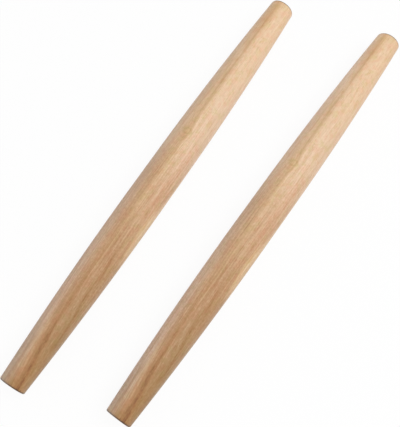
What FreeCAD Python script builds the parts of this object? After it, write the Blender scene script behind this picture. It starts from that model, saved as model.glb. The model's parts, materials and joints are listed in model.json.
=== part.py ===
import FreeCAD, Part
import enum
import math
import os
import Sketcher

# A pair of french rolling pins lying side by side on a table, in millimetres and degrees.
# Each pin is one turned piece of wood: a straight belly in the middle, a long tapered arc to
# each end that leaves the belly without a corner, flat end faces and rounded end edges.
# +Y runs along the pins, +X from the left pin to the right one, +Z up from the table at Z = 0.
# The origin is on the table, midway between the two pins.

SIZES = {
    "pin_length": "400",
    "belly_length": "34",
    "middle_diameter": "32",
    "end_diameter": "21.9",
    "end_rounding": "1",
    "belly_gap": "56.5",
    "pin_stagger": "25.7",
    "pin_splay_angle": "2.5",
}


class Tip(enum.IntEnum):
    """How a section's constraints number the ends of a line or an arc."""

    START = 1
    END = 2


class Axis(enum.IntEnum):
    """How they number the section's own axes. The first one starts at the section's root point."""

    ACROSS = -1
    ALONG = -2


def write_sizes(doc):
    """Put the driving dimensions in a sheet, one named row each."""
    sheet = doc.addObject("Spreadsheet::Sheet", "Sizes")
    for row, (name, value) in enumerate(SIZES.items(), start=1):
        sheet.set(f"A{row}", name)
        sheet.set(f"B{row}", value)
        sheet.setAlias(f"B{row}", name)
    doc.recompute()
    return sheet


def origin_plane(body, role):
    """One of a body's own origin planes."""
    return next(plane for plane in body.Origin.OriginFeatures if plane.Role == role)


def draw_half_section(sketch, sheet):
    """Draw half of a pin's lengthwise section, closed along the turning axis."""
    half_length = sheet.pin_length / 2
    half_belly = sheet.belly_length / 2
    middle_radius = sheet.middle_diameter / 2
    end_radius = sheet.end_diameter / 2

    # The taper is one long arc: it leaves the belly without a corner and ends at the end's rim.
    run = half_length - half_belly
    drop = middle_radius - end_radius
    taper_radius = (run**2 + drop**2) / (2 * drop)
    taper_angle = math.asin(run / taper_radius)

    def line(first, last):
        return sketch.addGeometry(Part.LineSegment(FreeCAD.Vector(*first, 0), FreeCAD.Vector(*last, 0)))

    def taper(side, first_angle, last_angle):
        centre = FreeCAD.Vector(middle_radius - taper_radius, side * half_belly, 0)
        circle = Part.Circle(centre, FreeCAD.Vector(0, 0, 1), taper_radius)
        return sketch.addGeometry(Part.ArcOfCircle(circle, first_angle, last_angle))

    axis = line((0, -half_length), (0, half_length))
    far_end = line((0, half_length), (end_radius, half_length))
    far_taper = taper(1, 0, taper_angle)
    belly = line((middle_radius, half_belly), (middle_radius, -half_belly))
    near_taper = taper(-1, -taper_angle, 0)
    near_end = line((end_radius, -half_length), (0, -half_length))

    rule = Sketcher.Constraint
    root = (Axis.ACROSS, Tip.START)
    for constraint in (
        rule("Coincident", axis, Tip.END, far_end, Tip.START),
        rule("Coincident", far_end, Tip.END, far_taper, Tip.END),
        rule("Tangent", far_taper, Tip.START, belly, Tip.START),
        rule("Tangent", belly, Tip.END, near_taper, Tip.END),
        rule("Coincident", near_taper, Tip.START, near_end, Tip.START),
        rule("Coincident", near_end, Tip.END, axis, Tip.START),
        rule("PointOnObject", axis, Tip.START, Axis.ALONG),
        rule("Symmetric", axis, Tip.START, axis, Tip.END, *root),
        rule("Symmetric", belly, Tip.START, belly, Tip.END, Axis.ACROSS),
        rule("Horizontal", far_end),
        rule("Horizontal", near_end),
        rule("Equal", far_end, near_end),
    ):
        sketch.addConstraint(constraint)

    def bind(name, kind, first, last, value, expression):
        index = sketch.addConstraint(rule(kind, *first, *last, value))
        sketch.renameConstraint(index, name)
        sketch.setExpression(f"Constraints.{name}", expression)

    axis_ends = (axis, Tip.START), (axis, Tip.END)
    belly_ends = (belly, Tip.END), (belly, Tip.START)
    bind("length", "DistanceY", *axis_ends, sheet.pin_length, "Sizes.pin_length")
    bind("belly", "DistanceY", *belly_ends, sheet.belly_length, "Sizes.belly_length")
    bind("middle", "DistanceX", root, (belly, Tip.START), middle_radius, "Sizes.middle_diameter / 2")
    bind("end", "DistanceX", root, (far_end, Tip.END), end_radius, "Sizes.end_diameter / 2")


def end_rims(shape):
    """Names of the edges round the flat end faces."""
    flats = [face for face in shape.Faces if isinstance(face.Surface, Part.Plane)]
    rims = [edge for face in flats for edge in face.Edges]
    return [
        f"Edge{number}"
        for number, edge in enumerate(shape.Edges, start=1)
        if any(edge.isSame(rim) for rim in rims)
    ]


def make_pin(doc, sheet, label, side):
    """One turned pin, laid with its belly on the table. side is -1 on the left and 1 on the right."""
    body = doc.addObject("PartDesign::Body", label)
    body.Label = label

    section = body.newObject("Sketcher::SketchObject", f"{label}_section")
    section.AttachmentSupport = [(origin_plane(body, "XY_Plane"), "")]
    section.MapMode = "FlatFace"
    draw_half_section(section, sheet)
    doc.recompute()

    turning = body.newObject("PartDesign::Revolution", f"{label}_turning")
    turning.Profile = section
    turning.ReferenceAxis = (section, ["V_Axis"])
    turning.Angle = 360
    doc.recompute()

    rounding = body.newObject("PartDesign::Fillet", f"{label}_end_rounding")
    rounding.Base = (turning, end_rims(turning.Shape))
    rounding.setExpression("Radius", "Sizes.end_rounding")
    body.Tip = rounding

    # The two pins spread a little towards +Y, so each leans away from the other by half the splay.
    place = (
        f"vector({side} * (Sizes.middle_diameter + Sizes.belly_gap) / 2;"
        f" {side} * Sizes.pin_stagger / 2; Sizes.middle_diameter / 2)"
    )
    lean = f"rotation(vector(0; 0; 1); {-side} * Sizes.pin_splay_angle / 2)"
    body.setExpression("Placement", f"placement({place}; {lean})")
    doc.recompute()
    return body


def check(doc, pins):
    """Stop if any step of the model failed or left a bad solid."""
    sections = [item for item in doc.Objects if item.isDerivedFrom("Sketcher::SketchObject")]
    failed = [item.Name for item in doc.Objects if {"Invalid", "Error"} & set(item.State)]
    unsolved = [section.Name for section in sections if section.solve() or not section.FullyConstrained]
    bad = [pin.Label for pin in pins if pin.Shape.isNull() or not pin.Shape.isValid()]
    if failed or unsolved or bad:
        raise RuntimeError(f"failed steps {failed}, unsolved sections {unsolved}, bad solids {bad}")


def main():
    doc = FreeCAD.newDocument("french_rolling_pins")
    sheet = write_sizes(doc)
    pins = [make_pin(doc, sheet, "left_pin", -1), make_pin(doc, sheet, "right_pin", 1)]
    doc.recompute()
    check(doc, pins)

    os.makedirs("parts", exist_ok=True)
    for pin in pins:
        pin.Shape.exportStep(os.path.join("parts", f"{pin.Label}.step"))
        box = pin.Shape.BoundBox
        extents = f"{box.XLength:.1f} x {box.YLength:.1f} x {box.ZLength:.1f} mm"
        print(f"{pin.Label}: {pin.Shape.Volume:.0f} mm3, {extents}, lowest point at {box.ZMin:.3f} mm")


main()
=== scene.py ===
# %% [markdown]
# # A pair of turned rolling pins
#
# A french rolling pin is the simplest kitchen tool there is: one length of close-grained wood, turned
# on a lathe to a slender barrel with no handles. This scene dresses a pair of them. The solids were
# drawn in CAD, so their shapes and places are settled before Blender starts, and the work here is
# what makes a plain solid look like wood: a smooth turned skin, a grain that runs through the whole
# blank, and a soft oiled surface.
#
# The CAD model comes in first. Everything is in metres, with +Y along the pins and the table at zero
# height, and the CAD model is kept in the scene.

# %% Load the CAD model
import json
import math

import bmesh
import bpy
from mathutils import Euler, Matrix, Vector, noise


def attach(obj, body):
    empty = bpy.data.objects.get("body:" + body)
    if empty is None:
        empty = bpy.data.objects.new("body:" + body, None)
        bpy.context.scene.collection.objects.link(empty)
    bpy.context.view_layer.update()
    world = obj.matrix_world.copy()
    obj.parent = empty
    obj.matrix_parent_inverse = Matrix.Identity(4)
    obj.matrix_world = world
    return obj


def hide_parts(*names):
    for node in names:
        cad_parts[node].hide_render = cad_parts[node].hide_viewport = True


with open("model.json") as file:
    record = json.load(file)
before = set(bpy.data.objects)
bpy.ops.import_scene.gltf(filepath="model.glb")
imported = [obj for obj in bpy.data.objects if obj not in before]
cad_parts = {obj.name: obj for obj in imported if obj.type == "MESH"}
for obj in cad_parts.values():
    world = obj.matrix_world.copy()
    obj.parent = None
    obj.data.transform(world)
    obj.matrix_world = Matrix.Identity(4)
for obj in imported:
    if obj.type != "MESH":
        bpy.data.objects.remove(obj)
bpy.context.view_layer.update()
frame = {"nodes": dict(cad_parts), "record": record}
print("CAD nodes:", sorted(frame["nodes"]))

# %% [markdown]
# ## The camera
#
# The picture is taken from high above the table with a short telephoto lens, close enough that the
# near ends look stouter than the far ones. A camera can be aimed with a Track To constraint, but a
# constraint gives no say over the tilt of the horizon. Here the three axes of the camera are worked
# out from an azimuth, an elevation and a roll, and written straight into its matrix.

# %% Aim the camera
IMAGE_HEIGHT = 427
FOCAL_PIXELS = 660.8
VIEW_AZIMUTH = math.radians(30.09)
VIEW_ELEVATION = math.radians(71.76)
VIEW_ROLL = math.radians(4.216)
VIEW_DISTANCE = 0.5433
VIEW_TARGET = Vector((0.0, -0.0191, 0.016))
NEAREST_SEEN = 0.01

towards_viewer = Vector((
    math.sin(VIEW_AZIMUTH) * math.cos(VIEW_ELEVATION),
    -math.cos(VIEW_AZIMUTH) * math.cos(VIEW_ELEVATION),
    math.sin(VIEW_ELEVATION),
))
level_right = Vector((0, 0, 1)).cross(towards_viewer).normalized()
level_up = towards_viewer.cross(level_right)
camera_right = math.cos(VIEW_ROLL) * level_right + math.sin(VIEW_ROLL) * level_up
camera_up = math.cos(VIEW_ROLL) * level_up - math.sin(VIEW_ROLL) * level_right
camera_place = VIEW_TARGET + VIEW_DISTANCE * towards_viewer

camera_data = bpy.data.cameras.new("camera")
camera_data.lens = FOCAL_PIXELS / IMAGE_HEIGHT * camera_data.sensor_width
camera_data.clip_start = NEAREST_SEEN
camera = bpy.data.objects.new("camera", camera_data)
camera_axes = Matrix((camera_right, camera_up, towards_viewer)).transposed()
camera.matrix_world = Matrix.Translation(camera_place) @ camera_axes.to_4x4()
bpy.context.scene.collection.objects.link(camera)
bpy.context.scene.camera = camera
print("camera at", tuple(round(v, 4) for v in camera_place), "lens", round(camera_data.lens, 2))

# %% [markdown]
# ## Where each pin lies
#
# The CAD record gives the middle of each pin's belly and the direction of its axis. A pin is round,
# so it can lie on the table any way up, and that choice decides which side of the wood is seen. Both
# pins show the viewer the same side of their blanks, so each one is turned about its own axis until
# that side faces the camera.

# %% Lay out the two pins
mounts = {mount["name"]: mount for mount in frame["record"]["mounts"]}


def lay_of_pin(side):
    """The place of a pin: local Y runs along it, and local Z points across it to the camera."""
    belly = mounts[side + "_belly"]
    centre = Vector(belly["pos_m"])
    along = Vector(belly["axis"]).normalized()
    yaw = math.atan2(-along.x, along.y)
    sight = Matrix.Rotation(-yaw, 3, "Z") @ (camera_place - centre)
    turn = math.atan2(sight.x, sight.z)
    return centre, Euler((0.0, turn, yaw), "XYZ")


lays = {side: lay_of_pin(side) for side in ("left", "right")}
for side, (centre, angles) in lays.items():
    print(side, "pin at", tuple(centre), "turned by", round(math.degrees(angles.y), 1), "degrees")

# %% [markdown]
# ## The outline of a pin
#
# A turner works to an outline: a short straight belly, a long even taper that leaves the belly
# without a corner, a flat end, and an edge eased with sandpaper so that it is kind to the hand. The
# taper is one very flat arc. The outline is drawn as points of radius and place along the pin, close
# together where it bends and further apart where it is nearly straight.

# %% Draw the outline
MM_IN_METRE = 1000
belly_mount = mounts["left_belly"]["dims"]
BELLY_RADIUS = belly_mount["r_mm"] / MM_IN_METRE
HALF_BELLY = belly_mount["length_mm"] / MM_IN_METRE / 2
near_end = Vector(mounts["left_near_end"]["pos_m"])
far_end = Vector(mounts["left_far_end"]["pos_m"])
HALF_LENGTH = (far_end - near_end).length / 2
END_RADIUS = 0.01095
END_ROUNDING = 0.001
RIM_INSET = 0.6 * END_ROUNDING

taper_run = HALF_LENGTH - HALF_BELLY
taper_drop = BELLY_RADIUS - END_RADIUS
TAPER_RADIUS = (taper_run ** 2 + taper_drop ** 2) / (2 * taper_drop)


def taper_at(y):
    """Radius of the pin at a distance from its middle, before the end edge is eased."""
    past_belly = max(abs(y) - HALF_BELLY, 0.0)
    return BELLY_RADIUS - TAPER_RADIUS + math.sqrt(TAPER_RADIUS ** 2 - past_belly ** 2)


# The easing is a small arc that touches the flat end and the taper.
easing_y = HALF_LENGTH - END_ROUNDING
easing_reach = math.sqrt((TAPER_RADIUS - END_ROUNDING) ** 2 - (easing_y - HALF_BELLY) ** 2)
FLAT_RADIUS = BELLY_RADIUS - TAPER_RADIUS + easing_reach
easing_lean = math.asin((easing_y - HALF_BELLY) / (TAPER_RADIUS - END_ROUNDING))

FLAT_RINGS = 6
EASING_RINGS = 8
BARREL_RINGS = 72

half_outline = [(FLAT_RADIUS * ring / FLAT_RINGS, HALF_LENGTH) for ring in range(FLAT_RINGS + 1)]
for ring in range(1, EASING_RINGS + 1):
    angle = math.pi / 2 - (math.pi / 2 - easing_lean) * ring / EASING_RINGS
    radius = FLAT_RADIUS + END_ROUNDING * math.cos(angle)
    half_outline.append((radius, easing_y + END_ROUNDING * math.sin(angle)))
barrel_start = half_outline[-1][1]
for ring in range(1, BARREL_RINGS + 1):
    y = barrel_start * (1 - ring / BARREL_RINGS)
    half_outline.append((taper_at(y), y))
outline = [(radius, -y) for radius, y in half_outline] + half_outline[-2::-1]
print(len(outline), "points, flat end", round(2 * MM_IN_METRE * FLAT_RADIUS, 2), "mm across")

# %% [markdown]
# ## Turning the barrel
#
# In Blender a lathe is either the Screw modifier or the spin operator, and both sweep an outline
# about an axis. Spin gives plain quads straight away, so it is used here, with the seam on the side
# that faces away from the camera. A pin sanded by hand on the lathe is never perfectly even, so the
# skin is then pressed in by a few hundredths of a millimetre in slow waves, and never pushed out.

# %% Turn a pin
AROUND = 144
SANDING_DEPTH = 0.00006
SANDING_WAVE = Vector((0.011, 0.05, 0.011))
SANDING_MEAN = 0.7
SANDING_SWING = 0.3
SANDING_SEEDS = {"left": 0.0, "right": 7.3}
SAME_PLACE = 1e-6


def turn_pin(name, seed):
    """A pin about its own Y axis, as a bmesh of quads with a fan at each end's middle."""
    mesh = bmesh.new()
    points = [mesh.verts.new((0.0, y, -radius)) for radius, y in outline]
    edges = [mesh.edges.new(pair) for pair in zip(points, points[1:])]
    bmesh.ops.spin(
        mesh, geom=points + edges, axis=(0, 1, 0), cent=(0, 0, 0),
        steps=AROUND, angle=2 * math.pi, use_merge=True,
    )
    bmesh.ops.remove_doubles(mesh, verts=mesh.verts, dist=SAME_PLACE)
    bmesh.ops.recalc_face_normals(mesh, faces=mesh.faces)
    for face in mesh.faces:
        face.smooth = True
    for point in mesh.verts:
        away = Vector((point.co.x, 0.0, point.co.z))
        if away.length < SAME_PLACE:
            continue
        at = Vector(c / w for c, w in zip(point.co, SANDING_WAVE))
        wave = SANDING_MEAN + SANDING_SWING * noise.noise(at + Vector((0, seed, 0)))
        point.co -= away.normalized() * SANDING_DEPTH * wave * min(away.length / FLAT_RADIUS, 1.0)
    print(name, "turned:", len(mesh.verts), "points,", len(mesh.faces), "faces")
    return mesh


turned = {side: turn_pin(side + " pin", seed) for side, seed in SANDING_SEEDS.items()}

# %% [markdown]
# ## Unrolling the skin
#
# The wood below is worked out from places inside the blank, so the render needs no unwrapping. A
# model that travels to other programs does, because there the grain is a picture wrapped on the
# skin. Blender's Smart UV Project would cut a round barrel into many slivers. A turned piece unrolls
# cleanly, so the barrel is laid flat as two strips, one for each half of its length, with the two
# round ends above them.

# %% Unroll a pin
STRIP_PLACES = {-1: 0.0, 1: 0.5}
STRIP_WIDTH = 0.5
STRIP_MARGIN = 0.006
STRIP_TOP = 0.89
CAP_ROW = 0.946
CAP_SIZE = 0.046
CAP_PLACES = {-1: 0.06, 1: 0.18}
CAP_LIMIT = HALF_LENGTH - RIM_INSET


def cap_uv(spot, half):
    """Where a point of a flat end goes: each end is a disc of its own."""
    across = CAP_PLACES[half] + CAP_SIZE * spot.x / END_RADIUS
    return across, CAP_ROW + CAP_SIZE * spot.z / END_RADIUS


def strip_uv(spot, half, face_angle):
    """Where a point of the barrel goes, on the same side of the seam as the rest of its face."""
    from_face = math.atan2(spot.x, spot.z) - face_angle
    angle = face_angle + math.remainder(from_face, 2 * math.pi)
    share = (angle + math.pi) / (2 * math.pi)
    across = STRIP_PLACES[half] + STRIP_MARGIN + share * (STRIP_WIDTH - 2 * STRIP_MARGIN)
    return across, STRIP_MARGIN + abs(spot.y) / HALF_LENGTH * (STRIP_TOP - STRIP_MARGIN)


def unroll(mesh):
    """Write the strips and the round ends into a UV map that travels with the mesh."""
    layer = mesh.loops.layers.uv.new("OFBake")
    for face in mesh.faces:
        middle = face.calc_center_median()
        half = 1 if middle.y > 0 else -1
        on_cap = abs(middle.y) > CAP_LIMIT
        face_angle = math.atan2(middle.x, middle.z)
        for loop in face.loops:
            spot = loop.vert.co
            loop[layer].uv = cap_uv(spot, half) if on_cap else strip_uv(spot, half, face_angle)


for side, mesh in turned.items():
    unroll(mesh)
    print(side, "pin unrolled")

# %% [markdown]
# ## Small tools for building a material
#
# A procedural material is a chain of small sums, and written out node by node it is long and hard to
# read. So a number that differs from place to place is wrapped here in a small class of its own, a
# Field. Adding or multiplying two fields adds a Math node and joins it up, which lets the wood be
# written as plain arithmetic. A fade goes smoothly between two values, and a bell is a soft stripe.

# %% Fields and nodes


def add_node(tree, kind, inputs, **settings):
    """A node with its settings, and its inputs set to values or joined to other nodes' outputs."""
    node = tree.nodes.new(kind)
    for name, value in settings.items():
        setattr(node, name, value)
    for name, value in inputs.items():
        if isinstance(value, Field):
            value = value.socket
        if isinstance(value, bpy.types.NodeSocket):
            tree.links.new(value, node.inputs[name])
        else:
            node.inputs[name].default_value = value
    return node


class Field:
    """A value that differs from place to place: the output of a node."""

    def __init__(self, tree, socket):
        self.tree = tree
        self.socket = socket

    def maths(self, operation, other=0.0):
        node = add_node(self.tree, "ShaderNodeMath", {0: self, 1: other}, operation=operation)
        return Field(self.tree, node.outputs[0])

    def __add__(self, other):
        return self.maths("ADD", other)

    def __sub__(self, other):
        return self.maths("SUBTRACT", other)

    def __mul__(self, other):
        return self.maths("MULTIPLY", other)

    def __truediv__(self, other):
        return self.maths("DIVIDE", other)

    def __pow__(self, other):
        return self.maths("POWER", other)

    def __abs__(self):
        return self.maths("ABSOLUTE")

    def fade(self, start, end, low=0.0, high=1.0):
        """Go smoothly from low to high as this field goes from start to end."""
        inputs = {"Value": self, "From Min": start, "From Max": end, "To Min": low, "To Max": high}
        node = add_node(self.tree, "ShaderNodeMapRange", inputs, interpolation_type="SMOOTHSTEP")
        return Field(self.tree, node.outputs[0])

    def bell(self, width):
        """1 where this field is 0, dying away smoothly over that width to each side."""
        return ((self / width) ** 2 * -1.0).maths("EXPONENT")


methods = [name for name in vars(Field) if not name.startswith("_")]
print("a field can be added, multiplied and given to", ", ".join(methods))

# %% [markdown]
# Wood is streaky because its fibres run one way. The Noise texture is even in all directions, so a
# Mapping node squeezes space along the pin first, and the noise comes out drawn into streaks. Wave
# and Magic textures make streaks too, but they repeat.

# %% Streaks and tints
NOISE_SETTINGS = {"Scale": 1.0, "Detail": 2.0, "Roughness": 0.55}
NOISE_MEAN = 0.5


def squeezed(place, across, along, shift):
    """Places counted in steps of across and along, in millimetres, and shifted by some steps."""
    inputs = {"Vector": place, "Location": shift, "Scale": (1 / across, 1 / along, 1 / across)}
    return add_node(place.tree, "ShaderNodeMapping", inputs).outputs[0]


def streaks(place, across, along, seed):
    """Noise about 0, drawn out along the grain: across and along are its sizes in millimetres."""
    spot = squeezed(place, across, along, (seed, 1.7 * seed, -seed))
    texture = add_node(place.tree, "ShaderNodeTexNoise", {"Vector": spot, **NOISE_SETTINGS})
    return Field(place.tree, texture.outputs[0]) - NOISE_MEAN


def tint(red, green, blue):
    """A colour given as 0 to 255 on screen, in the linear light that Blender works in."""
    def linear(level):
        share = level / 255
        return share / 12.92 if share <= 0.04045 else ((share + 0.055) / 1.055) ** 2.4
    return (linear(red), linear(green), linear(blue), 1.0)


print("a mid grey on screen is", round(tint(128, 128, 128)[0], 3), "in linear light")

# %% [markdown]
# ## Growth rings
#
# The blank was sawn from a log, so it holds slices of growth rings whose centre lies outside it. A
# wood texture can be painted on the skin, but then the rings on the end would not meet the lines
# along the side. Here the rings are a field in space: every place in the blank knows how far it is
# from the log's centre, and the skin shows whatever ring it happens to cut. The log bowed a little
# towards one end, so there the rings drift across the pin, and a small knot pushes them aside.

# %% The ring field
PITH_ACROSS = -60.0
PITH_TOWARDS = 8.0
BOW_START = -30.0
RING_BOW = -0.00035
RING_WANDER = 2.4
KNOT_ACROSS = -5.0
KNOT_ALONG = 43.5
KNOT_PUSH = -2.2
KNOT_PUSH_SIZE = (4.0, 9.0)


def from_knot(x, y, width, length):
    """Distance from the knot, counted so that it is 1 all round an oval of that half size."""
    return (((x - KNOT_ACROSS) / width) ** 2 + ((y - KNOT_ALONG) / length) ** 2) ** 0.5


def on_knot_side(z):
    """1 on the side of the pin that the knot comes out of, and 0 on the other."""
    return z.fade(2.0, 8.0)


def knot_field(x, y, z, width, length):
    """1 at the knot, fading to 0 around it, on the side of the pin that it comes out of."""
    return from_knot(x, y, width, length).bell(1.0) * on_knot_side(z)


def ring_field(place, x, y, z):
    """Distance across the growth rings, in millimetres, with 0 near the middle of the pin."""
    radial = ((x - PITH_ACROSS) ** 2 + (z - PITH_TOWARDS) ** 2) ** 0.5 + PITH_ACROSS
    bow = (y - BOW_START).maths("MINIMUM", 0.0) ** 2 * RING_BOW
    wander = streaks(place, across=9.0, along=80.0, seed=3.1) * RING_WANDER
    ripple = streaks(place, across=3.0, along=30.0, seed=11.7)
    return radial + bow + wander + ripple + knot_field(x, y, z, *KNOT_PUSH_SIZE) * KNOT_PUSH


print("the log's centre is", -PITH_ACROSS, "mm to the left of the pin")

# %% [markdown]
# ## Pale and dark wood
#
# Wood is first of all a tone, a single number from dark to pale. The near end is heartwood, a brown
# tan with a paler band along its left. Towards the far end a strip of sapwood opens up on the right,
# much the palest wood in the pin, and the wood beside it stays tan. A lighter strip shows at the
# right edge below the middle. Each of these is a soft patch: a fade across the rings times a fade
# along the pin, in millimetres. One patch is painted shade that darkens the left flank. Each pin also
# has painted light and shade from flank to flank, lighter on one side and darker on the other.

# %% Broad tone
NEAR_TONE = 0.34
MIDDLE_TONE = 0.53
SAPWOOD_TONE = 0.31
NEAR_BAND_TONE = 0.16
RIGHT_EDGE_TONE = 0.23
# Painted light and shade: each pin's tone rises towards one flank and falls towards the other.
PAINTED_SIDE_LIGHT_AND_SHADE = {"left": 0.0035, "right": -0.0055}

# Each patch: where it begins and where it is full across the rings, the same two along the pin, and
# the tone that it adds or takes off.
TONE_PATCHES = {
    "tan beside the sapwood": (-0.2, -5.0, -10.0, 50.0, 0.06),
    "tan on the left": (-4.5, -8.5, -100.0, -30.0, 0.05),
    "brown heart of the near end": (-5.0, 3.0, -130.0, -200.0, -0.085),
    # Painted shade: the left flank is darkened where it turns away from the light.
    "left flank": (-8.0, -13.0, -160.0, 60.0, -0.05),
    "left flank of the far end": (-3.0, -9.0, 150.0, 195.0, -0.02),
}


def right_edge(ring, y):
    """1 in the lighter strip at the right edge, below the middle: a lens drawn out along the pin."""
    across = ring.fade(9.5, 12.0) * ring.fade(17.5, 15.0)
    reach = ring.fade(13.5, 16.5, 0.0, 60.0)
    return across * (y + reach).fade(-95.0, -60.0) * (y - reach).fade(-15.0, -45.0)


def broad_tone(ring, x, y, drift):
    """The tone without the figure, from 0 for dark to 1 for pale, with painted light and shade on the
    flanks.
    """
    heartwood = y.fade(-230.0, -70.0, NEAR_TONE, MIDDLE_TONE)
    far_wood = y.fade(-20.0, 60.0, 0.0, 0.13) + y.fade(60.0, 190.0, 0.0, 0.14)
    sapwood_along = y.fade(-115.0, 40.0, 0.0, SAPWOOD_TONE) * y.fade(60.0, 190.0, 1.0, 0.67)
    sapwood = ring.fade(-6.0, -1.2) * sapwood_along
    near_band_along = y.fade(-120.0, -155.0, 0.0, NEAR_BAND_TONE) * y.fade(-203.0, -180.0)
    near_band = (ring + 10.6).bell(3.2) * near_band_along
    tone = heartwood + far_wood + sapwood + near_band + right_edge(ring, y) * RIGHT_EDGE_TONE
    for ring_start, ring_full, start, full, added in TONE_PATCHES.values():
        tone = tone + ring.fade(ring_start, ring_full) * y.fade(start, full, 0.0, added)
    # x * drift is painted light and shade from flank to flank.
    return tone + x * drift


print("tone", NEAR_TONE, "at the near end,", MIDDLE_TONE, "at the middle, and patches:")
print(", ".join(TONE_PATCHES))

# %% [markdown]
# ## Late lines
#
# At the end of each summer a tree lays down a thin line of dense, dark wood. Where the pin's skin cuts
# such a line at a slant it shows as a soft brown streak that follows the grain for a while and then
# thins away. One sine wave across the rings would draw them all alike, so each streak is placed one
# by one, and a fine noise frays it so that no streak has a hard edge.

# %% Late lines
# Each line: its place across the rings, its drift, where it starts and stops along the pin, its half
# width and its depth of tone. A depth below zero makes a pale line.
LATE_LINES = (
    (-5.6, 0.0, -215.0, -150.0, 2.1, 0.17),
    (-4.8, 0.0, -215.0, -156.0, 0.8, 0.14),
    (-7.0, 0.0, -215.0, -190.0, 2.8, 0.08),
    (-5.1, 0.0, -160.0, -93.0, 1.3, 0.13),
    (3.8, 0.0, -152.0, -100.0, 1.1, 0.12),
    (26.8, 0.143, -195.0, -160.0, 1.4, -0.07),
    (-1.2, -0.077, -106.0, -68.0, 1.2, 0.09),
    (0.6, 0.0, -82.0, -52.0, 0.8, 0.09),
    (-6.4, 0.0, -82.0, -54.0, 1.0, 0.07),
    (4.8, 0.10, -200.0, -158.0, 1.0, -0.09),
    (1.6, 0.094, -207.0, -156.0, 1.1, 0.17),
    (6.3, 0.0, -98.0, -42.0, 1.9, 0.04),
    (5.0, 0.0, -25.0, 10.0, 2.0, 0.05),
    (8.3, 0.0, -22.0, 70.0, 1.5, 0.05),
    (13.0, 0.0, -22.0, 45.0, 2.2, 0.06),
    (-6.9, 0.0, -40.0, 130.0, 1.3, -0.07),
    (-5.0, 0.0, 48.0, 90.0, 1.0, 0.04),
    (-6.2, 0.0, 94.0, 124.0, 0.9, 0.14),
    (-5.5, 0.0, 140.0, 188.0, 1.0, 0.10),
)
LINE_END = 14.0


def late_line(ring, y, place, drift, start, end, half_width, depth):
    """How much one late line takes off the tone."""
    begun = y.fade(start - LINE_END, start + LINE_END, 0.0, depth)
    ended = y.fade(end - LINE_END, end + LINE_END, 1.0, 0.0)
    return (ring - place - y * drift).bell(half_width) * begun * ended


def late_lines(grain, ring, y):
    """How much all the late lines take off the tone, frayed by a fine noise."""
    first, *others = [late_line(ring, y, *line) for line in LATE_LINES]
    fraying = streaks(grain, across=1.3, along=5.0, seed=27.0).fade(-0.20, 0.14, 0.72, 1.20)
    return sum(others, first) * fraying


print(len(LATE_LINES), "late lines")

# %% [markdown]
# ## Fibres and flecks
#
# Between the late lines the wood is still never even. Broad soft bands follow the rings, the fibres
# make long fine streaks, and where the grain dips in and out of the surface there are small pale and
# dark flecks. Each is a noise of its own length and width, so that no one pattern repeats. All of
# them are liveliest before the middle and calmer in the pale sapwood of the far end.

# %% Fine tone
RING_WIDTH = 12.0
RING_START = -8.0
BAND_STRENGTH = 0.36
FIBRE_STRENGTH = 0.34
FLECK_STRENGTH = 0.28
RING_TONES = (
    (0.00, 0.50),
    (0.10, 0.72),
    (0.35, 0.70),
    (0.65, 0.58),
    (0.85, 0.45),
    (0.94, 0.22),
    (1.00, 0.50),
)
RING_TONE_MEAN = 0.6


def graph(value, points):
    """A ramp through points of position and level, where a level is a tone or a colour."""
    ramp = add_node(value.tree, "ShaderNodeValToRGB", {"Fac": value})
    steps = ramp.color_ramp.elements
    while len(steps) < len(points):
        steps.new(0.5)
    for step, (position, level) in zip(steps, points):
        step.position = position
        step.color = level if isinstance(level, tuple) else (level, level, level, 1.0)
    return Field(value.tree, ramp.outputs["Color"])


def tone_in_rings(ring, width, start=0.0):
    """How the tone goes up and down about 0 in rings of that width, in millimetres."""
    ring_share = ((ring - start) / width).maths("FRACT")
    return graph(ring_share, RING_TONES) - RING_TONE_MEAN


def fine_tone(grain, ring, y, fine_seed):
    """How much the figure adds to the tone or takes off it."""
    ring_strength = streaks(grain, across=5.0, along=40.0, seed=21.0).fade(-0.14, 0.10, 0.04, 0.16)
    growth = tone_in_rings(ring, RING_WIDTH, RING_START) * ring_strength
    bands = streaks(grain, across=1.7, along=70.0, seed=31.0) * BAND_STRENGTH
    fibres = streaks(grain, across=0.7, along=30.0, seed=fine_seed) * FIBRE_STRENGTH
    flecks = streaks(grain, across=1.4, along=1.8, seed=37.0) * FLECK_STRENGTH
    livelier_middle = y.fade(-165.0, -140.0, 1.0, 1.16)
    calmer_sapwood = y.fade(-10.0, 100.0, 1.0, 0.57)
    return (growth + bands + fibres + flecks) * livelier_middle * calmer_sapwood


print("rings about", RING_WIDTH, "mm wide")

# %% [markdown]
# ## From tone to colour
#
# A ramp turns the tone into wood, from brown tan to cream. Thin stains then change its hue. Small rosy
# and olive patches lie all over, as they do in real boards. Larger stains lie where the wood changes:
# greener at the near end beside its left flank, yellower in the lighter strip at the right edge, a
# little peach by the middle, and warm orange at the sides of the far end. Between the ends the right
# side is a little cooler than the left. The knot shows as a thin olive ring, its eye. A grey sheen is
# painted on the near end's left flank, and a pale grey sheen is painted along the left flanks, the
# right pin's most, where the other pin shades it. Each is a Mix node set to Multiply, keeping the
# figure below.

# %% Colours
WOOD_RAMP = (
    (0.0, tint(128, 78, 34)),
    (0.2, tint(157, 112, 62)),
    (0.4, tint(179, 135, 91)),
    (0.6, tint(205, 167, 126)),
    (0.8, tint(229, 196, 161)),
    (1.0, tint(249, 221, 190)),
)
PALEST_TONE = 1.25
ROSY_STAIN = (1.0, 0.91, 0.89, 1.0)
OLIVE_STAIN = (0.93, 0.97, 0.84, 1.0)
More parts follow.
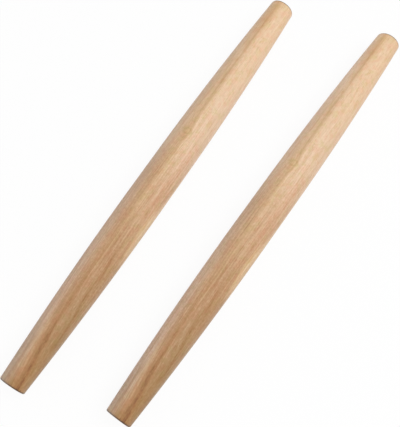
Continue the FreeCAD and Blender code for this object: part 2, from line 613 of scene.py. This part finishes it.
# Painted sheen: a grey cast on the near end's left flank.
NEAR_LEFT_PAINTED_SHEEN = (0.94, 1.0, 1.10, 1.0)
NEAR_STAIN = (0.95, 1.03, 1.04, 1.0)
FAR_STAIN = (0.93, 0.85, 0.72, 1.0)
EDGE_STAIN = (1.0, 1.0, 0.87, 1.0)
PEACH_STAIN = (1.03, 0.96, 0.99, 1.0)
KNOT_STAIN = (0.96, 0.97, 0.84, 1.0)
COOL_STAIN = (1.0, 1.025, 1.085, 1.0)
# Painted sheen: the left flanks are made paler and greyer, the right pin's most, where the other pin
# shades it.
FLANK_PAINTED_SHEEN = (1.22, 1.38, 1.80, 1.0)
PAINTED_SHEEN_PER_PIN = {"left": 0.17, "right": 1.0}
EYE_STAIN = (0.89, 0.89, 0.76, 1.0)
KNOT_STAIN_SIZE = (2.4, 5.0)
EYE_SIZE = (3.2, 2.6)
EYE_THICKNESS = 0.28

# A Mix node has sockets for every kind of data, and these are the ones for colours.
MIX_AMOUNT = 0
MIX_COLOUR = 6
MIX_STAIN = 7
MIX_RESULT = 2


def stained(colour, amount, stain):
    """A colour multiplied by a stain where amount is 1, and left alone where it is 0."""
    inputs = {MIX_AMOUNT: amount, MIX_COLOUR: colour, MIX_STAIN: stain}
    mix = add_node(amount.tree, "ShaderNodeMix", inputs, data_type="RGBA", blend_type="MULTIPLY")
    return Field(amount.tree, mix.outputs[MIX_RESULT])


def on_left_flank(x, y):
    """Where the painted sheen goes: along the left flank, where it turns away from the viewer, most at
    the near end.
    """
    past_belly = (abs(y) - MM_IN_METRE * HALF_BELLY).maths("MAXIMUM", 0.0)
    narrowing = -taper_drop / taper_run ** 2 / MM_IN_METRE
    radius = past_belly ** 2 * narrowing + MM_IN_METRE * BELLY_RADIUS
    return (x / radius).fade(-0.45, -0.85) * y.fade(20.0, -150.0, 0.35, 1.0)


def wood_colour(side, tone, grain, ring, x, y, z):
    """The colour of the wood on the sides of a pin."""
    colour = graph(tone / PALEST_TONE, WOOD_RAMP)
    patches = (
        (streaks(grain, across=4.0, along=6.5, seed=41.0).fade(-0.06, 0.16), ROSY_STAIN),
        (streaks(grain, across=4.4, along=7.0, seed=53.0).fade(-0.02, 0.20), OLIVE_STAIN),
        # Painted grey sheen on the near end's left flank.
        (ring.fade(-9.5, -12.0) * y.fade(-120.0, -180.0), NEAR_LEFT_PAINTED_SHEEN),
        (ring.fade(-4.0, -1.0) * y.fade(-75.0, -150.0), NEAR_STAIN),
        (right_edge(ring, y), EDGE_STAIN),
        ((ring - 8.5).bell(4.0) * y.fade(-60.0, -20.0) * y.fade(50.0, 20.0), PEACH_STAIN),
        ((x.fade(2.0, -5.0) + x.fade(3.0, 8.0, 0.0, 0.45)) * y.fade(130.0, 185.0), FAR_STAIN),
        (x.fade(-3.0, 3.0) * y.fade(-185.0, -140.0) * y.fade(130.0, 70.0), COOL_STAIN),
        # Painted sheen along the left flanks.
        (on_left_flank(x, y) * PAINTED_SHEEN_PER_PIN[side], FLANK_PAINTED_SHEEN),
        (knot_field(x, y, z, *KNOT_STAIN_SIZE), KNOT_STAIN),
        ((from_knot(x, y, *EYE_SIZE) - 1.0).bell(EYE_THICKNESS) * on_knot_side(z), EYE_STAIN),
    )
    for amount, stain in patches:
        colour = stained(colour, amount, stain)
    return colour


print("the far end keeps", FAR_STAIN[2], "of its blue, so it looks orange")

# %% [markdown]
# ## The ends
#
# The flat ends cut straight across the growth rings, so each ring shows there as a narrow arc. End
# grain also drinks in oil and turns darker than the sides. A thin dark line of painted shade goes
# round each eased edge, where it turns away from the light. All this follows the distance from the
# middle of the pin, so no part of the mesh has to be marked for it.

# %% Ends
END_STAIN = (0.84, 0.78, 0.70, 1.0)
# Painted shade: the dark line round each eased edge, where it turns away from the light.
RIM_PAINTED_SHADE = (0.30, 0.28, 0.24, 1.0)
RIM_WIDTH = 0.6
END_AT = MM_IN_METRE * HALF_LENGTH
RIM_AT = END_AT - MM_IN_METRE * RIM_INSET
END_RING_WIDTH = 2.8
END_RING_STRENGTH = 0.35


def end_rings(ring, y):
    """How much the arcs on the flat ends add to the tone or take off it."""
    return tone_in_rings(ring, END_RING_WIDTH) * abs(y).fade(RIM_AT, END_AT, 0.0, END_RING_STRENGTH)


def end_grain_stain_and_rim_shade(colour, y):
    """A colour with darker end grain and a thin line of painted shade round each rim."""
    colour = stained(colour, abs(y).fade(RIM_AT, END_AT), END_STAIN)
    # The line round each rim is painted shade, not grime.
    return stained(colour, (abs(y) - RIM_AT).bell(RIM_WIDTH), RIM_PAINTED_SHADE)


print("rims with painted shade", round(RIM_AT, 1), "mm from the middle, end grain at", round(END_AT, 1), "mm")

# %% [markdown]
# ## Pores
#
# Cut vessels show as short fine dashes along the grain, darker than the wood around them and a touch
# lower. A Voronoi texture scatters points evenly, and a threshold on the distance to the nearest point
# makes each one a dash.

# %% Pores
PORE_ACROSS = 0.9
PORE_ALONG = 9.0
PORE_OUTSIDE = 0.30
PORE_INSIDE = 0.14
PORE_STAIN = (0.62, 0.52, 0.44, 1.0)


def pores_in(grain, seed):
    """Cut vessels: 1 in each short dash, 0 between them."""
    cells = squeezed(grain, PORE_ACROSS, PORE_ALONG, (seed, seed, seed))
    dots = add_node(grain.tree, "ShaderNodeTexVoronoi", {"Vector": cells, "Scale": 1.0})
    return Field(grain.tree, dots.outputs["Distance"]).fade(PORE_OUTSIDE, PORE_INSIDE)


print("pores", PORE_ACROSS, "by", PORE_ALONG, "mm apart")

# %% [markdown]
# ## Finish
#
# A pin is finished with oil or wax, which leaves a soft sheen and no film. The Principled shader gives
# that with a middling roughness, a little rougher in the pores and in dark wood, and a faint bump. Its
# sheen lobe stands for the fine raised fibres that catch the light at a grazing view. The two pins
# share one recipe, and each gets seeds of its own for what is finest.

# %% Make the two woods
FINE_SEEDS = {"left": 61.0, "right": 67.0}
PORE_DARKNESS = 0.3
TONE_RELIEF = 0.3
BUMP_STRENGTH = 0.25
BUMP_DEPTH = 0.0002
ROUGHNESS = 0.64
PALE_ROUGHNESS = -0.08
PORE_ROUGHNESS = 0.1
SHINE = {"Specular IOR Level": 0.5, "Sheen Weight": 0.25, "Sheen Roughness": 0.5}


def make_wood(side):
    """Oiled, turned wood for the pin on that side."""
    centre, angles = lays[side]
    material = bpy.data.materials.new(side + "_turned_wood")
    material.use_nodes = True
    tree = material.node_tree
    tree.nodes.clear()

    spot = add_node(tree, "ShaderNodeTexCoord", {}).outputs["Object"]
    unit = [1 / MM_IN_METRE] * 3
    inputs = {"Vector": spot, "Location": centre, "Rotation": angles, "Scale": unit}
    place = Field(tree, add_node(tree, "ShaderNodeMapping", inputs, vector_type="TEXTURE").outputs[0])
    axes = add_node(tree, "ShaderNodeSeparateXYZ", {0: place})
    x, y, z = (Field(tree, axis) for axis in axes.outputs)
    ring = ring_field(place, x, y, z)
    grain = Field(tree, add_node(tree, "ShaderNodeCombineXYZ", {0: ring, 1: y, 2: z}).outputs[0])

    tone = broad_tone(ring, x, y, PAINTED_SIDE_LIGHT_AND_SHADE[side]) - late_lines(grain, ring, y)
    tone = tone + fine_tone(grain, ring, y, FINE_SEEDS[side]) + end_rings(ring, y)
    pores = pores_in(grain, FINE_SEEDS[side])
    height = tone * TONE_RELIEF - pores
    inputs = {"Height": height, "Strength": BUMP_STRENGTH, "Distance": BUMP_DEPTH}
    bump = add_node(tree, "ShaderNodeBump", inputs)

    colour = end_grain_stain_and_rim_shade(wood_colour(side, tone, grain, ring, x, y, z), y)
    inputs = {
        "Base Color": stained(colour, pores * PORE_DARKNESS, PORE_STAIN),
        "Roughness": tone * PALE_ROUGHNESS + ROUGHNESS + pores * PORE_ROUGHNESS,
        "Normal": bump.outputs[0],
        **SHINE,
    }
    skin = add_node(tree, "ShaderNodeBsdfPrincipled", inputs)
    add_node(tree, "ShaderNodeOutputMaterial", {"Surface": skin.outputs[0]})
    print(material.name, "has", len(tree.nodes), "nodes")
    return material


woods = {side: make_wood(side) for side in lays}

# %% [markdown]
# ## Setting the pins in place
#
# Each turned mesh is moved to where the CAD pin lies, and takes its place there: the CAD solid stays
# for the motion, and the turned one is what shows. The right pin rolls about its own axis, so each
# piece rides on the body of its own pin.

# %% Place the pins
for side, mesh in turned.items():
    centre, angles = lays[side]
    mesh.transform(Matrix.Translation(centre) @ angles.to_matrix().to_4x4())
    data = bpy.data.meshes.new(side + "_pin_wood")
    mesh.to_mesh(data)
    mesh.free()
    data.materials.append(woods[side])
    pin = bpy.data.objects.new(side + "_pin_wood", data)
    bpy.context.scene.collection.objects.link(pin)
    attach(pin, side + "_pin")
    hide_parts(side + "_pin")
    print(pin.name, "stands for", side + "_pin")

# %% [markdown]
# ## The table
#
# The pins lie on a plain white sweep. It is a broad flat sheet that looks nearly white to the camera
# and to reflections, and still takes a share of real light, so that the pins keep a soft shadow and
# do not float. The Light Path node tells which rays see the sheet directly. Away from the pins the
# sheet turns wholly white, so that it meets the surround without a line.

# %% White table
FLOOR_HALF = 4.0
FLOOR_SQUARES = 8
FLOOR_DROP = 0.0002
FLOOR_WHITE_SHARE = 0.92
SHADOW_REACH = 0.3
WHITE_FROM = 0.9
PAPER_WHITE = (0.93, 0.93, 0.93, 1.0)
FULL_WHITE = (1.0, 1.0, 1.0, 1.0)


def seen_directly(tree):
    """1 for rays that show the background itself: to the camera, in gloss or through glass."""
    path = tree.nodes.new("ShaderNodeLightPath").outputs
    seen = Field(tree, path["Is Camera Ray"])
    for kind in ("Is Glossy Ray", "Is Transmission Ray"):
        seen = seen.maths("MAXIMUM", path[kind])
    return seen


floor_mesh = bmesh.new()
bmesh.ops.create_grid(
    floor_mesh, x_segments=FLOOR_SQUARES, y_segments=FLOOR_SQUARES, size=FLOOR_HALF,
)
floor_data = bpy.data.meshes.new("table")
floor_mesh.to_mesh(floor_data)
floor_mesh.free()
floor = bpy.data.objects.new("table", floor_data)
floor.location.z = -FLOOR_DROP
bpy.context.scene.collection.objects.link(floor)

floor_material = bpy.data.materials.new("white_table")
floor_material.use_nodes = True
floor_tree = floor_material.node_tree
floor_tree.nodes.clear()
paper = add_node(floor_tree, "ShaderNodeBsdfDiffuse", {"Color": PAPER_WHITE})
glow = add_node(floor_tree, "ShaderNodeEmission", {"Color": FULL_WHITE, "Strength": 1.0})
floor_spot = add_node(floor_tree, "ShaderNodeTexCoord", {}).outputs["Object"]
floor_length = add_node(floor_tree, "ShaderNodeVectorMath", {0: floor_spot}, operation="LENGTH")
from_pins = Field(floor_tree, floor_length.outputs["Value"])
whiteness = from_pins.fade(SHADOW_REACH, WHITE_FROM, FLOOR_WHITE_SHARE, 1.0)
white_share = seen_directly(floor_tree) * whiteness
mixed = {0: white_share, 1: paper.outputs[0], 2: glow.outputs[0]}
floor_mix = add_node(floor_tree, "ShaderNodeMixShader", mixed)
add_node(floor_tree, "ShaderNodeOutputMaterial", {"Surface": floor_mix.outputs[0]})
floor_data.materials.append(floor_material)
print("table", 2 * FLOOR_HALF, "m wide")

# %% [markdown]
# ## The light
#
# The light is a bright even surround, with one large softbox above on the right. A long low panel on
# the left, cool as the light of a window, is there for its reflection alone: it lays a grey sheen
# along the left flank of each pin and adds nothing to the colour of the wood. A narrow panel would
# need to be so bright that it burns out the edge of a pin at a grazing view, so it is half a metre
# tall.

# %% Surround and softboxes
SURROUND_LIGHT = 0.54
WINDOW_TINT = (0.80, 0.92, 1.0)

world = bpy.data.worlds.new("white_surround")
bpy.context.scene.world = world
world.use_nodes = True
world_tree = world.node_tree
world_tree.nodes.clear()
brightness = seen_directly(world_tree).fade(0.0, 1.0, SURROUND_LIGHT, 1.0)
sky = add_node(world_tree, "ShaderNodeBackground", {"Color": FULL_WHITE, "Strength": brightness})
add_node(world_tree, "ShaderNodeOutputWorld", {"Surface": sky.outputs[0]})


def softbox(name, place, width, height, watts):
    """A broad area light that faces the middle of the pins."""
    lamp = bpy.data.lights.new(name, "AREA")
    lamp.shape = "RECTANGLE"
    lamp.size = width
    lamp.size_y = height
    lamp.energy = watts
    holder = bpy.data.objects.new(name, lamp)
    holder.location = place
    holder.rotation_euler = (VIEW_TARGET - Vector(place)).to_track_quat("-Z", "Y").to_euler()
    bpy.context.scene.collection.objects.link(holder)
    print(name, width, "by", height, "m,", watts, "W")
    return holder


softbox("softbox_above", place=(0.75, 0.2, 1.85), width=1.4, height=1.4, watts=22.5)
window_strip = softbox("window_strip", place=(-0.7, -0.18, 0.25), width=1.05, height=0.5, watts=9.5)
window_strip.data.color = WINDOW_TINT
window_strip.visible_diffuse = False
bpy.context.scene.view_settings.view_transform = "Standard"

# %% [markdown]
# The dressed pins must not outgrow the CAD model.
